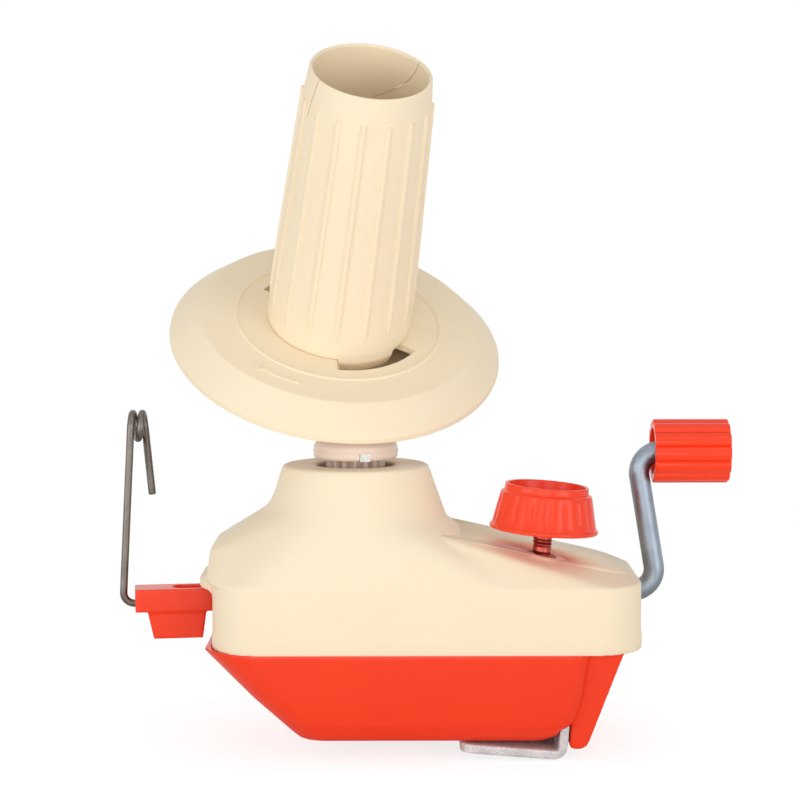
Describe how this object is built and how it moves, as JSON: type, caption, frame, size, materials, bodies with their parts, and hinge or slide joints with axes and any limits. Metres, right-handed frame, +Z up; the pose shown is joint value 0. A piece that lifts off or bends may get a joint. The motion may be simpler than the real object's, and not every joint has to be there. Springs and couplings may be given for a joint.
{
  "type": "yarn ball winder",
  "caption": "Hand-cranked yarn ball winder with a table clamp: a crank turns a tilted spool that spins on its own axle, fed through a swinging wire guide.",
  "frame": {"origin": "where the upright spindle axis meets the flat seat under the tub", "axes": "+Z up along the spindle, +X toward the crank, -Y toward the viewer of the picture"},
  "size_m": [0.1951, 0.1158, 0.2224],
  "materials": {
    "cream_plastic": "gloss",
    "red_plastic": "gloss",
    "nylon": "satin",
    "steel": "zinc plated"
  },
  "bodies": {
    "base": {"lower_housing": "red_plastic", "upper_housing": "cream_plastic", "housing_screws": "steel", "spindle_axle": "steel", "sun_gear": "nylon", "sun_screw": "steel", "sleeve_washer": "steel", "head_washer": "steel", "crank_bushes": "nylon", "pivot_rivet": "steel", "pivot_washer": "steel"},
    "crank": {"crank_rod": "steel", "crown_gear": "nylon", "crown_pin": "steel", "rod_clips": "steel", "grip_cap": "steel"},
    "grip": {"crank_grip": "red_plastic"},
    "rotor": {"pinion_sleeve": "nylon", "turntable_head": "nylon", "head_key": "steel", "spool_axle": "steel", "spool_thrust": "steel", "spool_screw": "steel"},
    "spool": {"spool_flange": "cream_plastic", "spool_gear": "nylon", "gear_screws": "steel"},
    "core": {"spool_core": "cream_plastic"},
    "knob": {"clamp_screw": "steel", "clamp_knob": "red_plastic", "clamp_clip": "steel"},
    "jaw": {"clamp_bracket": "steel", "clamp_nut": "steel"},
    "guide": {"guide_arm": "red_plastic", "guide_wire": "steel"}
  },
  "joints": [
    {"name": "crank_turn", "type": "hinge", "parent": "base", "child": "crank", "pos_m": [0.05, 0, 0.043], "axis": [1, 0, 0], "continuous": true},
    {"name": "grip_spin", "type": "hinge", "parent": "crank", "child": "grip", "pos_m": [0.105, 0, 0.0882], "axis": [1, 0, 0], "continuous": true},
    {"name": "rotor_spin", "type": "hinge", "parent": "base", "child": "rotor", "pos_m": [0, 0, 0.08], "axis": [0, 0, 1], "continuous": true},
    {"name": "spool_spin", "type": "hinge", "parent": "rotor", "child": "spool", "pos_m": [0, 0, 0.17], "axis": [0.1282, -0.5142, 0.848], "continuous": true},
    {"name": "core_twist", "type": "hinge", "parent": "spool", "child": "core", "pos_m": [0, 0, 0.17], "axis": [0.1282, -0.5142, 0.848], "range_deg": [0, 12]},
    {"name": "knob_turn", "type": "hinge", "parent": "base", "child": "knob", "pos_m": [0.0585, -0.017, 0.05727], "axis": [0.0767, 0, 0.9971], "range_deg": [0, 12240]},
    {"name": "jaw_slide", "type": "slide", "parent": "base", "child": "jaw", "axis": [0.0767, 0, 0.9971], "range_m": [-0.034, 0]},
    {"name": "guide_swing", "type": "hinge", "parent": "base", "child": "guide", "pos_m": [-0.038, 0, 0.04], "axis": [0, 0, 1], "range_deg": [-22, 22]}
  ],
  "couplings": [
    {"joint": "crank_turn", "follows": "rotor_spin", "ratio": -0.38095},
    {"joint": "spool_spin", "follows": "rotor_spin", "ratio": 0.25532},
    {"joint": "knob_turn", "follows": "jaw_slide", "rad_per_m": -6283.2}
  ]
}
